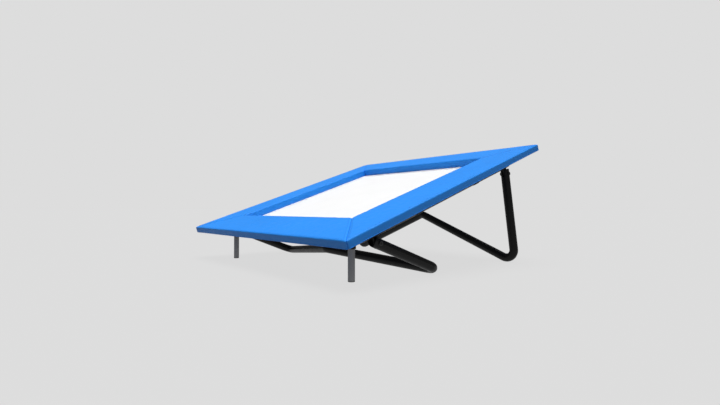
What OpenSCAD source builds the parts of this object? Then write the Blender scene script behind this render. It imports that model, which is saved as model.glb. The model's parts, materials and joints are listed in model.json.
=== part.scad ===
// Sloping mini-trampoline: a square tube frame with a woven bed on springs, mitred
// edge pads, two folding W-shaped legs and two short straight legs at the low end.
// Millimetres. X is across, Y runs from the low end to the high end, Z is up, and the
// origin is on the floor under the middle of the pads.

/* [Deck] */
// Distance that the pads reach past the middle of the rails
pad_overhang = 100; // [50:1:130]
// Width of one pad across the border
pad_border = 197; // [194:1:240]
// Thickness of the pads
pad_t = 30; // [20:1:40]
// Slope of the deck in degrees
deck_angle = 18.9; // [15:0.1:22]
// Height of the pads' underside above the floor at the low edge
low_edge_height = 130; // [120:1:160]

/* [Frame rails] */
// Distance between opposite rails, centre to centre
rail_span = 1050; // [840:5:1260]
// Outside diameter of the rail and leg tube
tube_d = 39; // [34:0.5:42]
// Wall of the rail and leg tube
tube_wall = 2; // [1.5:0.1:3]
// Centreline radius of the frame's corners
corner_r = 60; // [50:1:70]
// Distance from an end rail's middle to the joints in the side rails
joint_inset = 135; // [130:1:160]
// Length of the sleeves inside the rail joints
sleeve_len = 120; // [90:5:140]
// Distance from a rail joint to the bolts on either side of it
bolt_offset = 30; // [20:1:35]
// Diameter of the rail joint bolts
bolt_d = 6; // [5:0.5:8]

/* [Bed and springs] */
// Distance from the middle of a rail to the edge of the bed
bed_inset = 92; // [85:1:95]
// Thickness of the bed cloth
bed_t = 2; // [1:0.5:4]
// Height of the bed above the rails' centre plane
bed_w = 12; // [8:0.5:13]
// Width of the webbing sewn round the bed
hem_w = 30; // [20:1:50]
// Springs on each side
spring_count = 8; // [4:1:9]
// Distance of the outermost springs from the middle of the next rail
spring_margin = 175; // [150:1:260]
// Outside diameter of a spring
spring_d = 12; // [9:0.5:13]
// Length of the spring's hooks and ring at the bed
ring_len = 12; // [10:1:16]

/* [High leg] */
// Distance of the high leg's hinge from the high end rail's middle, along the slope
high_hinge_inset = 69.3; // [62:0.1:110]
// Lean of the high leg, its foot outwards, in degrees
high_lean = 3; // [1:0.5:6]
// Distance that the high leg's lower corners stand outside its hinges, before rounding
high_flare = 37; // [10:1:55]
// Height of the high leg's middle bend above its feet
high_peak = 203; // [150:1:240]

/* [Low leg] */
// Distance of the low leg's hinge from the low end rail's middle, along the slope
low_hinge_inset = 98; // [80:1:115]
// Length of the low leg from its hinge to its feet
low_leg_len = 316; // [265:1:345]
// Distance that the low leg's lower corners stand outside its hinges, before rounding
low_flare = 25; // [10:1:45]
// Distance of the low leg's middle bend from its feet
low_peak = 132.5; // [100:0.5:170]

/* [Leg hinges] */
// Centreline radius of the leg bends
leg_bend_r = 40; // [35:1:50]
// Drop of the hinge axes below the rails' centre plane
hinge_drop = 44; // [42:0.5:50]
// Diameter of the hinge pins
pin_d = 10; // [8:0.5:12]
// Radial running clearance of the pins
pin_clear = 0.05; // [0.02:0.01:0.1]
// Thickness of the hinge tongues
tongue_t = 8; // [5:0.5:12]
// Travel of the low leg from rest to square with the deck, in degrees
low_swing = 50; // [30:1:55]

/* [Front legs] */
// Distance of each front leg from the middle of the side rail
front_inset_x = 61; // [57:1:66]
// Distance of each front leg from the middle of the low end rail, level along the floor
front_inset_y = 43.4225; // [41:0.1:48]
// Diameter of the front legs
front_d = 25; // [20:0.5:26]
// Wall of the front legs
front_wall = 2; // [1:0.1:3]
// Wall of the sockets
socket_wall = 3.5; // [2.5:0.1:4]
// Length of the sockets
socket_len = 40; // [34:1:42]

/* [Hidden] */
$fn = 48;
eps = 0.01;
gap = 0.3;              // clearance of soft pieces and loose fits
weld_gap = 0.1;         // seam between welded pieces
weld_seam = 0.05;       // root gap under a weld ring
weld_w = 2;
weld_h = 0.3;
tube_r = tube_d / 2;
rail = rail_span / 2;
half = rail + pad_overhang;
rail_joint = rail - joint_inset;
pad_w0 = tube_r + gap;
deck_y = (pad_w0 + pad_t / 2) * sin(deck_angle);
deck_z = low_edge_height + half * sin(deck_angle) - pad_w0 * cos(deck_angle);
sides = [0, 90, 180, 270];

bed_half = rail - bed_inset;
bed_size = 2 * bed_half;
spring_pitch = 2 * (rail - spring_margin) / (spring_count - 1);
lug_reach = 13;
lug_t = 4;
lug_hole = 5;
spring_out = rail - tube_r - lug_reach - gap;
spring_in = bed_half + gap + ring_len + gap;
spring_wire = 2;
strap_t = 1.5;
strap_w = 30;
strap_at = 200;

end_over = 10;          // leg tube past its hinge axis
end_len = 50;           // length of the block in the leg's end
slot_floor = 16;        // from the hinge axis to the bottom of the slot
tongue_r = 13;
tongue_clear = 0.5;
cap_d = 16;
cap_t = 2;
cap_gap = 1.1;

plate_t = 4;
plate_w = -14;
plate_reach = 115;
front_gap = 0.1;
socket_r = front_d / 2 + front_gap + socket_wall;
plug_t = 3;
screw_d = 8;
screw_drop = 27;        // from the socket's top to the clamp screw
boss_len = 10;
knob_r = 13;
knob_t = 16;

// A point of the deck, which is v along the slope and w above the rails' centres
function deck_point_y(v, w) = deck_y + v * cos(deck_angle) - w * sin(deck_angle);
function deck_point_z(v, w) = deck_z + v * sin(deck_angle) + w * cos(deck_angle);
function unit(v) = v / norm(v);

high_hinge_v = rail - high_hinge_inset;
high_spread = rail + high_flare;
low_hinge_v = rail - low_hinge_inset;
low_spread = rail + low_flare;
front_x = rail - front_inset_x;
front_y = -deck_point_y(-rail, 0) - front_inset_y;
high_y = deck_point_y(high_hinge_v, -hinge_drop);
high_z = deck_point_z(high_hinge_v, -hinge_drop);
high_rise = 90 - high_lean;
high_len = (high_z - tube_r) / sin(high_rise);
low_y = deck_point_y(-low_hinge_v, -hinge_drop);
low_z = deck_point_z(-low_hinge_v, -hinge_drop);
low_rise = asin((low_z - tube_r) / low_leg_len);
socket_top = deck_z - (deck_y + front_y) * tan(deck_angle) - 5;

// The angle between two directions, and the middle of the arc that rounds a corner
function between(u, v) = acos(unit(u) * unit(v));
function arc_centre(a, b, c, r) =
    b + unit(unit(a - b) + unit(c - b)) * r / sin(between(a - b, c - b) / 2);
// The sharp corner's place for which the rounded leg is lowest exactly at its feet
function corner_drop(len, spread, peak, tries = 8) =
    tries == 0 ? 0
    : let (t = corner_drop(len, spread, peak, tries - 1))
      t - (arc_centre([rail, len], [spread, t], [0, peak], leg_bend_r)[1] - leg_bend_r);
// The corners of a leg from one hinge to the other, with the hinge axis at height 0
function leg_path(len, spread, peak) =
    let (foot = [spread, corner_drop(len, spread, peak) - len],
         top = [rail, 0], end = top + unit(top - foot) * end_over)
    [end, foot, [0, peak - len], [-foot[0], foot[1]], [-end[0], end[1]]];

// Puts its children in the sloping deck's own frame
module deck() {
    translate([0, deck_y, deck_z]) rotate([deck_angle, 0, 0]) children();
}

// Puts its children in a leg's plane: Y up the leg and the hinge axis at the origin
module leg_plane(y, z, rise) {
    translate([0, y, z]) rotate([180 - rise, 0, 0]) children();
}

module straight(a, b, r) {
    translate([a[0], a[1], 0]) rotate([0, 0, atan2(b[1] - a[1], b[0] - a[0])])
        rotate([0, 90, 0]) cylinder(r = r, h = norm(b - a));
}

module straight_tube(a, b, r, wall) {
    over = unit(b - a) * eps;
    difference() {
        straight(a, b, r);
        if (wall > 0) straight(a - over, b + over, r - wall);
    }
}

module bend(a, b, c, bend_r, r, wall) {
    mid = arc_centre(a, b, c, bend_r);
    back = bend_r / tan(between(a - b, c - b) / 2);
    from = b + unit(a - b) * back - mid;
    to = b + unit(c - b) * back - mid;
    turn = 180 - between(a - b, c - b);
    sweep = from[0] * to[1] - from[1] * to[0] > 0 ? turn : -turn;
    translate([mid[0], mid[1], 0]) rotate([0, 0, atan2(from[1], from[0]) + min(sweep, 0)])
        rotate_extrude(angle = turn) translate([bend_r, 0]) difference() {
            circle(r = r);
            if (wall > 0) circle(r = r - wall);
        }
}

// A tube through the points, with each inner corner rounded and a thin weld round each
// end of a bend; a wall of 0 is a solid bar
module bent_tube(points, bend_r, r, wall) {
    last = len(points) - 1;
    setback = [for (i = [0:last]) i == 0 || i == last ? 0
        : bend_r / tan(between(points[i - 1] - points[i], points[i + 1] - points[i]) / 2)];
    for (i = [0:last - 1]) {
        along = unit(points[i + 1] - points[i]);
        from = points[i] + along * (setback[i] + (i == 0 ? 0 : weld_seam));
        to = points[i + 1] - along * (setback[i + 1] + (i == last - 1 ? 0 : weld_seam));
        straight_tube(from, to, r, wall);
        if (i > 0) weld_ring(from, along, r, wall);
        if (i < last - 1) weld_ring(to, along, r, wall);
    }
    for (i = [1:last - 1])
        bend(points[i - 1], points[i], points[i + 1], bend_r, r, wall);
}

module weld_ring(at, along, r, wall) {
    straight_tube(at - along * weld_w / 2, at + along * weld_w / 2, r + weld_h,
                  wall > 0 ? wall + 2 * weld_h : 0);
}

// ---- frame rails ----

module end_rail_path(r, wall) {
    bent_tube([[-rail, -rail_joint - weld_gap], [-rail, -rail], [rail, -rail],
               [rail, -rail_joint - weld_gap]], corner_r, r, wall);
}

module joint_bolts(d) {
    for (x = [-rail, rail], end = [-1, 1], s = [-1, 1])
        translate([x, end * (rail_joint + s * bolt_offset), 0]) rotate([0, 90, 0])
            cylinder(d = d, h = tube_d + 20, center = true);
}

module end_rail(turn) {
    color("#161616") deck() difference() {
        rotate([0, 0, turn]) end_rail_path(tube_r, tube_wall);
        joint_bolts(bolt_d + 2 * gap);
    }
}

module side_rail(side) {
    color("#161616") deck() difference() {
        straight_tube([side * rail, -rail_joint], [side * rail, rail_joint], tube_r, tube_wall);
        joint_bolts(bolt_d + 2 * gap);
    }
}

module rail_sleeves() {
    r = tube_r - tube_wall - weld_gap;
    color("silver") deck() difference() {
        for (x = [-rail, rail], end = [-1, 1])
            straight_tube([x, end * rail_joint - sleeve_len / 2],
                          [x, end * rail_joint + sleeve_len / 2], r, tube_wall);
        joint_bolts(bolt_d + 2 * gap);
    }
}

module rail_bolts() {
    color("dimgray") deck()
        for (side = [-1, 1], end = [-1, 1], s = [-1, 1])
            translate([side * rail, end * (rail_joint + s * bolt_offset), 0])
                rotate([0, 90 * side, 0]) {
                    translate([0, 0, -tube_r - gap]) cylinder(d = bolt_d, h = tube_d + 2 * gap + 6);
                    translate([0, 0, -tube_r - gap - 4]) cylinder(d = 10, h = 4 + eps);
                }
}

module rail_nuts() {
    color("dimgray") deck()
        for (side = [-1, 1], end = [-1, 1], s = [-1, 1])
            translate([side * rail, end * (rail_joint + s * bolt_offset), 0])
                rotate([0, 90 * side, 0]) translate([0, 0, tube_r + gap]) difference() {
                    cylinder(d = 11, h = 5, $fn = 6);
                    translate([0, 0, -eps]) cylinder(d = bolt_d + 2 * weld_gap, h = 5 + 2 * eps);
                }
}

// ---- leg hinges ----

// A tongue welded under a rail; its heel meets the slot's floor where the leg stops
module hinge_tongues(v, y, z, rise, stop, heel) {
    color("#161616") for (x = [-rail, rail]) difference() {
        union() {
            translate([x, 0, 0]) deck() translate([-tongue_t / 2, v, 0]) {
                translate([0, -tongue_r + 1, -hinge_drop])
                    cube([tongue_t, 2 * tongue_r - 2, hinge_drop - tube_r / 2]);
            }
            translate([x, 0, 0]) leg_plane(y, z, rise) {
                rotate([0, 90, 0]) cylinder(r = tongue_r, h = tongue_t, center = true);
                rotate([stop, 0, 0]) translate([-tongue_t / 2, -slot_floor + gap, heel < 0 ? -tongue_r : 0])
                    cube([tongue_t, slot_floor - gap, tongue_r]);
            }
        }
        deck() straight([x, v - 60], [x, v + 60], tube_r + weld_gap);
        translate([x, y, z]) rotate([0, 90, 0])
            cylinder(d = pin_d + 2 * pin_clear, h = tongue_t + 1, center = true);
    }
}

module hinge_pins(y, z) {
    color("silver") for (x = [-rail, rail]) translate([x, y, z]) rotate([0, 90, 0])
        cylinder(d = pin_d, h = tube_d + 2 * (cap_gap + cap_t), center = true);
}

module pin_caps(y, z) {
    color("#161616") for (x = [-rail, rail], s = [-1, 1])
        translate([x, y, z]) rotate([0, 90 * s, 0]) translate([0, 0, tube_r + cap_gap])
            difference() {
                cylinder(d = cap_d, h = cap_t);
                translate([0, 0, -eps]) cylinder(d = pin_d + 2 * pin_clear, h = cap_t + 2 * eps);
            }
}

// The pin hole and the slot for the tongue in each end of a leg
module leg_end_cuts() {
    for (x = [-rail, rail]) translate([x, 0, 0]) {
        rotate([0, 90, 0]) cylinder(d = pin_d + 2 * pin_clear, h = 2 * tube_d, center = true);
        translate([-tongue_t / 2 - tongue_clear, -slot_floor, -tube_d])
            cube([tongue_t + 2 * tongue_clear, slot_floor + 2 * end_over, 2 * tube_d]);
    }
}

module folding_leg(y, z, rise, len, spread, peak) {
    color("#161616") leg_plane(y, z, rise) difference() {
        bent_tube(leg_path(len, spread, peak), leg_bend_r, tube_r, tube_wall);
        leg_end_cuts();
    }
}

module leg_ends(y, z, rise, len, spread, peak) {
    path = leg_path(len, spread, peak);
    down = unit(path[1] - path[0]) * end_len;
    color("gray") leg_plane(y, z, rise) difference() {
        for (s = [-1, 1])
            straight([s * path[0][0], path[0][1]], [s * (path[0] + down)[0], (path[0] + down)[1]],
                     tube_r - tube_wall - weld_gap);
        leg_end_cuts();
    }
}

// ---- bed, springs and pads, one side at a time ----

module along_side(turn) {
    deck() rotate([0, 0, turn])
        for (i = [0:spring_count - 1])
            translate([(i - (spring_count - 1) / 2) * spring_pitch, 0, bed_w]) children();
}

module spring_lugs(turn) {
    color("#161616") difference() {
        along_side(turn) difference() {
            translate([-lug_t / 2, -rail, -5]) cube([lug_t, tube_r + lug_reach, 10]);
            translate([0, -rail + tube_r + lug_reach - 5, 0]) rotate([0, 90, 0])
                cylinder(d = lug_hole, h = lug_t + 1, center = true);
        }
        deck() rotate([0, 0, turn])
            straight([-rail, -rail], [rail, -rail], tube_r + weld_gap);
    }
}

module springs(turn) {
    color("silver") along_side(turn)
        translate([0, -spring_in, 0]) rotate([90, 0, 0]) difference() {
            cylinder(d = spring_d, h = spring_out - spring_in);
            translate([0, 0, -eps])
                cylinder(d = spring_d - 2 * spring_wire, h = spring_out - spring_in + 2 * eps);
        }
}

module bed_rings(turn) {
    color("silver") along_side(turn)
        translate([-9, -bed_half - gap - ring_len, -1.5]) difference() {
            cube([18, ring_len, 3]);
            translate([3, 3, -eps]) cube([12, ring_len - 6, 3 + 2 * eps]);
        }
}

module bed() {
    color("white") deck() translate([-bed_half, -bed_half, bed_w - bed_t / 2])
        cube([bed_size, bed_size, bed_t]);
}

module bed_hem() {
    color("white") deck() translate([0, 0, bed_w + bed_t / 2]) linear_extrude(strap_t)
        difference() {
            square(bed_size, center = true);
            square(bed_size - 2 * hem_w, center = true);
        }
}

module pad(turn) {
    mitre = gap * sqrt(2);
    color("#3f9bff") deck() rotate([0, 0, turn]) translate([0, 0, pad_w0])
        linear_extrude(pad_t)
            polygon([[-half + mitre, -half], [half - mitre, -half],
                     [half - pad_border - mitre, -half + pad_border],
                     [-half + pad_border + mitre, -half + pad_border]]);
}

// Webbing loops that hold the pads down on the rails
module pad_straps() {
    r = tube_r + gap;
    color("#222222") deck()
        for (turn = sides, s = [-1, 1]) rotate([0, 0, turn])
            translate([s * strap_at - strap_w / 2, -rail, 0]) rotate([90, 0, 90])
                linear_extrude(strap_w) difference() {
                    union() {
                        circle(r = r + strap_t);
                        translate([-r - strap_t, 0]) square([2 * (r + strap_t), tube_r]);
                    }
                    circle(r = r);
                    translate([-r, 0]) square([2 * r, 2 * r]);
                }
}

// ---- front legs and their sockets ----

module corner_plate(side) {
    out = rail;
    in = rail - plate_reach;
    bevel = rail - corner_r;
    color("#161616") difference() {
        deck() difference() {
            translate([0, 0, plate_w]) linear_extrude(plate_t) scale([side, 1])
                polygon([[in, -out], [bevel, -out], [out, -bevel], [out, -in]]);
            end_rail_path(tube_r + weld_gap, 0);
        }
        translate([side * front_x, -front_y, 0]) cylinder(r = socket_r + weld_gap, h = 2 * deck_z);
    }
}

// A socket with a closed top and a threaded boss for the clamp screw
module socket(side) {
    color("#161616") translate([side * front_x, -front_y, 0]) difference() {
        union() {
            translate([0, 0, socket_top - socket_len]) cylinder(r = socket_r, h = socket_len);
            translate([0, 0, socket_top - screw_drop]) rotate([0, -90 * side, 0])
                cylinder(d = 2 * screw_d, h = socket_r + boss_len);
        }
        translate([0, 0, socket_top - socket_len - 1])
            cylinder(r = front_d / 2 + front_gap, h = socket_len + 1 - plug_t);
        translate([0, 0, socket_top - screw_drop]) rotate([0, -90 * side, 0])
            cylinder(d = screw_d + 2 * pin_clear, h = socket_r + boss_len + 1);
    }
}

module front_leg(side) {
    color("#606060") translate([side * front_x, -front_y, plug_t]) difference() {
        cylinder(d = front_d, h = socket_top - 2 * plug_t - front_gap);
        translate([0, 0, -1]) cylinder(d = front_d - 2 * front_wall, h = 2 * deck_z);
    }
}

module front_plug(side) {
    color("#606060") translate([side * front_x, -front_y, 0]) {
        cylinder(d = front_d, h = plug_t);
        translate([0, 0, plug_t - eps])
            cylinder(d = front_d - 2 * front_wall - 2 * weld_gap, h = 15);
    }
}

module on_screw(side) {
    translate([side * front_x, -front_y, socket_top - screw_drop]) rotate([0, -90 * side, 0])
        children();
}

module clamp_screw(side) {
    color("silver") on_screw(side) translate([0, 0, front_d / 2 + gap])
        cylinder(d = screw_d, h = socket_r + boss_len + knob_t - front_d / 2 - 3);
}

// A round knob with six finger hollows, on the end of the clamp screw
module clamp_knob(side) {
    color("#101010") on_screw(side) translate([0, 0, socket_r + boss_len + gap]) difference() {
        cylinder(r = knob_r, h = knob_t);
        for (i = [0:5]) rotate([0, 0, 60 * i]) translate([knob_r + 3, 0, -1])
            cylinder(r = 5, h = knob_t + 2);
        translate([0, 0, -1]) cylinder(d = screw_d + 2 * weld_gap, h = knob_t - 2);
    }
}

end_rail(0);  // low_end_rail
end_rail(180);  // high_end_rail
side_rail(-1);  // left_side_rail
side_rail(1);  // right_side_rail
rail_sleeves();
rail_bolts();
rail_nuts();
hinge_tongues(high_hinge_v, high_y, high_z, high_rise, 0, -1);  // high_hinge_tongues
hinge_tongues(-low_hinge_v, low_y, low_z, low_rise, -low_swing, 1);  // low_hinge_tongues
hinge_pins(high_y, high_z);  // high_hinge_pins
hinge_pins(low_y, low_z);  // low_hinge_pins
pin_caps(high_y, high_z);  // high_pin_caps
pin_caps(low_y, low_z);  // low_pin_caps
folding_leg(high_y, high_z, high_rise, high_len, high_spread, high_peak);  // high_leg
leg_ends(high_y, high_z, high_rise, high_len, high_spread, high_peak);  // high_leg_ends
folding_leg(low_y, low_z, low_rise, low_leg_len, low_spread, low_peak);  // low_leg
leg_ends(low_y, low_z, low_rise, low_leg_len, low_spread, low_peak);  // low_leg_ends
spring_lugs(0);  // spring_lugs_low
spring_lugs(90);  // spring_lugs_right
spring_lugs(180);  // spring_lugs_high
spring_lugs(270);  // spring_lugs_left
springs(0);  // springs_low
springs(90);  // springs_right
springs(180);  // springs_high
springs(270);  // springs_left
bed_rings(0);  // bed_rings_low
bed_rings(90);  // bed_rings_right
bed_rings(180);  // bed_rings_high
bed_rings(270);  // bed_rings_left
bed();
bed_hem();
pad(0);  // pad_low
pad(90);  // pad_right
pad(180);  // pad_high
pad(270);  // pad_left
pad_straps();
corner_plate(-1);  // corner_plate_left
corner_plate(1);  // corner_plate_right
socket(-1);  // socket_left
socket(1);  // socket_right
front_leg(-1);  // front_leg_left
front_leg(1);  // front_leg_right
front_plug(-1);  // front_plug_left
front_plug(1);  // front_plug_right
clamp_screw(-1);  // clamp_screw_left
clamp_screw(1);  // clamp_screw_right
clamp_knob(-1);  // clamp_knob_left
clamp_knob(1);  // clamp_knob_right
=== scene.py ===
import json
import math

import bmesh
import bpy
import numpy as np
from bpy.props import FloatProperty, FloatVectorProperty, IntProperty, PointerProperty
from mathutils import Matrix, Vector, noise
from mathutils.bvhtree import BVHTree


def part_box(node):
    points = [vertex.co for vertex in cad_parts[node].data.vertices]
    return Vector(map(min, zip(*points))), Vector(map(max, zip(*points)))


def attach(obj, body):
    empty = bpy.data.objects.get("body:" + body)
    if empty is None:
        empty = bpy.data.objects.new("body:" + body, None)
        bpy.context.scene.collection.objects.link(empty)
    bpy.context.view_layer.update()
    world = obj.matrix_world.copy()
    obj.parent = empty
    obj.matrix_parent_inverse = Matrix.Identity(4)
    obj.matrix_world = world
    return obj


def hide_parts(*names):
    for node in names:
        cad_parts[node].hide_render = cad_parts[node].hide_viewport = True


bl_info = {
    "name": "Sloping mini-trampoline",
    "version": (1, 0, 0),
    "blender": (4, 5, 0),
    "location": "View3D > Sidebar > Trampoline",
    "description": "Finishes the frame, legs, bed, springs and pads of a sloping mini-trampoline",
    "category": "Add Mesh",
}

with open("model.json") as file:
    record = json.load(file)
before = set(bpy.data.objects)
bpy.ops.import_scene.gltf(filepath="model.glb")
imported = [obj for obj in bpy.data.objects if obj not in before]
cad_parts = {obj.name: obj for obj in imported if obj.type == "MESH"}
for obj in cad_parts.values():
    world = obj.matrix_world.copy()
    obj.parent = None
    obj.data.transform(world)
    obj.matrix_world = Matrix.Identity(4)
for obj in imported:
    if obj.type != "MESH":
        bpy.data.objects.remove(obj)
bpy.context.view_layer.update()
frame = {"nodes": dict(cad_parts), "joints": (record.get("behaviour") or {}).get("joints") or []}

ROOT = "frame"
MM = 0.001
SIDES = {"low": 0, "right": 90, "high": 180, "left": 270}


# ---- places and sizes that come from the frame ----


def joint(name):
    return next(j for j in frame["joints"] if j["name"] == name)


HIGH_AXIS = Vector(joint("high_leg_fold")["pos_m"])
LOW_AXIS = Vector(joint("low_leg_fold")["pos_m"])


def deck_matrix():
    """The sloping deck's own frame: X across, Y up the slope and Z square to it."""
    left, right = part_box("left_side_rail"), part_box("right_side_rail")
    middle = (left[0] + left[1] + right[0] + right[1]) / 4
    rise = HIGH_AXIS - LOW_AXIS
    return Matrix.Translation(middle) @ Matrix.Rotation(math.atan2(rise.z, rise.y), 4, "X")


DECK = deck_matrix()


def deck_box(node):
    """Lowest and highest corner of a CAD node in the deck's frame."""
    to_deck = DECK.inverted()
    points = np.array([to_deck @ v.co for v in frame["nodes"][node].data.vertices])
    return Vector(points.min(0)), Vector(points.max(0))


RAIL_BOX = deck_box("right_side_rail")
RAIL = (RAIL_BOX[0].x + RAIL_BOX[1].x) / 2
RAIL_JOINT = RAIL_BOX[1].y
TUBE_R = (RAIL_BOX[1].z - RAIL_BOX[0].z) / 2
PAD_BOX = deck_box("pad_low")
PAD_OUTER = -PAD_BOX[0].y
PAD_INNER = -PAD_BOX[1].y
BED_BOX = deck_box("bed")
HEM_BOX = deck_box("bed_hem")
SPRING_BOX = deck_box("springs_low")
RING_BOX = deck_box("bed_rings_low")
LUG_BOX = deck_box("spring_lugs_low")

TUBE_WALL = 2 * MM
CORNER_R = 60 * MM
LEG_BEND_R = 40 * MM
JOINT_GAP = 0.1 * MM
MITRE_GAP = 0.3 * MM * math.sqrt(2)
HEM_W = 30 * MM
STRAP_AT = 200 * MM
STRAP_W = 30 * MM
EYE_R = 23.4 * MM
SLOT_FLOOR = 16 * MM
SLOT_W = 9 * MM
PIN_HOLE_R = 5.05 * MM
RING_W = 18 * MM
SPRING_COUNT = 8
SPRING_PITCH = (RING_BOX[1].x - RING_BOX[0].x - RING_W) / (SPRING_COUNT - 1)
COIL_SIDES = 14
KNOB_SIDES = 96
SHARP_ANGLE = 38
LOW_LEG_LENGTH = 316 * MM
HIGH_LEG = {"rise": math.radians(87), "flare": 37 * MM, "peak": 203 * MM}
LOW_LEG_RISE = math.asin((LOW_AXIS.z - TUBE_R) / LOW_LEG_LENGTH)
LOW_LEG = {"rise": LOW_LEG_RISE, "flare": 25 * MM, "peak": 132.5 * MM}


# ---- what a user would change ----


class TrampolineSizes(bpy.types.PropertyGroup):
    crown: FloatProperty(
        name="Pad crown", description="How far a pad's top swells in the middle",
        default=1.2 * MM, min=0.0, max=0.02, unit="LENGTH")
    pad_wrinkle: FloatProperty(
        name="Pad unevenness", description="Height of the soft unevenness in a pad's skin",
        default=0.25 * MM, min=0.0, max=0.002, unit="LENGTH")
    stitch_inset: FloatProperty(
        name="Stitch inset", description="Distance from a pad's edge to its row of stitches",
        default=8.5 * MM, min=0.002, max=0.02, unit="LENGTH")
    stitch_pitch: FloatProperty(
        name="Stitch pitch", description="Distance from one stitch to the next",
        default=5.5 * MM, min=0.002, max=0.02, unit="LENGTH")
    stitch_length: FloatProperty(
        name="Stitch length", description="Length of the thread that shows in one stitch",
        default=3.8 * MM, min=0.001, max=0.02, unit="LENGTH")
    thread_r: FloatProperty(
        name="Thread radius", description="Radius of the sewing thread",
        default=0.45 * MM, min=0.0001, max=0.002, unit="LENGTH")
    pad_edge_r: FloatProperty(
        name="Pad edge radius", description="Radius of the soft top edges of a pad",
        default=4.5 * MM, min=0.001, max=0.01, unit="LENGTH")
    welt_r: FloatProperty(
        name="Welt radius", description="Radius of the folded seam round a pad's base",
        default=0.8 * MM, min=0.0002, max=0.004, unit="LENGTH")
    spring_turns: IntProperty(
        name="Spring turns", description="Turns in each spring's coil",
        default=15, min=4, max=30)
    spring_wire_r: FloatProperty(
        name="Spring wire radius", description="Radius of the spring wire",
        default=1.0 * MM, min=0.0003, max=0.002, unit="LENGTH")
    tube_sides: IntProperty(
        name="Tube sides", description="Faces round a rail or leg tube",
        default=64, min=24, max=128)
    weave_pitch: FloatProperty(
        name="Bed weave pitch", description="Distance between the threads of the bed",
        default=2.4 * MM, min=0.0005, max=0.01, unit="LENGTH")


class TrampolineColours(bpy.types.PropertyGroup):
    pad: FloatVectorProperty(
        name="Pad vinyl", description="Colour of the edge pads", subtype="COLOR",
        size=3, min=0, max=1, default=(0.023, 0.300, 0.980))
    thread: FloatVectorProperty(
        name="Thread", description="Colour of the sewing thread", subtype="COLOR",
        size=3, min=0, max=1, default=(0.016, 0.240, 0.820))
    bed: FloatVectorProperty(
        name="Bed cloth", description="Colour of the woven bed", subtype="COLOR",
        size=3, min=0, max=1, default=(0.975, 0.975, 0.975))
    strap: FloatVectorProperty(
        name="Strap webbing", description="Colour of the straps under the pads",
        subtype="COLOR", size=3, min=0, max=1, default=(0.012, 0.012, 0.014))
    black: FloatVectorProperty(
        name="Black powder coat", description="Colour of the rails and folding legs",
        subtype="COLOR", size=3, min=0, max=1, default=(0.0030, 0.0030, 0.0032))
    grey: FloatVectorProperty(
        name="Grey powder coat", description="Colour of the two front legs",
        subtype="COLOR", size=3, min=0, max=1, default=(0.46, 0.46, 0.46))
    zinc: FloatVectorProperty(
        name="Zinc plate", description="Colour of the bolts, pins and screws",
        subtype="COLOR", size=3, min=0, max=1, default=(0.62, 0.63, 0.64))


def sizes():
    return bpy.context.scene.trampoline_sizes


def colours():
    return bpy.context.scene.trampoline_colours


# ---- nodes ----


def add_node(tree, kind, inputs=None, **settings):
    """A node with its settings made and its inputs linked or set."""
    made = tree.nodes.new(kind)
    for key, value in settings.items():
        setattr(made, key, value)
    for key, value in (inputs or {}).items():
        if isinstance(value, bpy.types.NodeSocket):
            tree.links.new(value, made.inputs[key])
        else:
            made.inputs[key].default_value = value
    return made


def reckon(tree, operation, first, second=0.0):
    """One step of arithmetic between two values."""
    return add_node(tree, "ShaderNodeMath", {0: first, 1: second}, operation=operation).outputs[0]


# ---- materials ----


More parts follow.
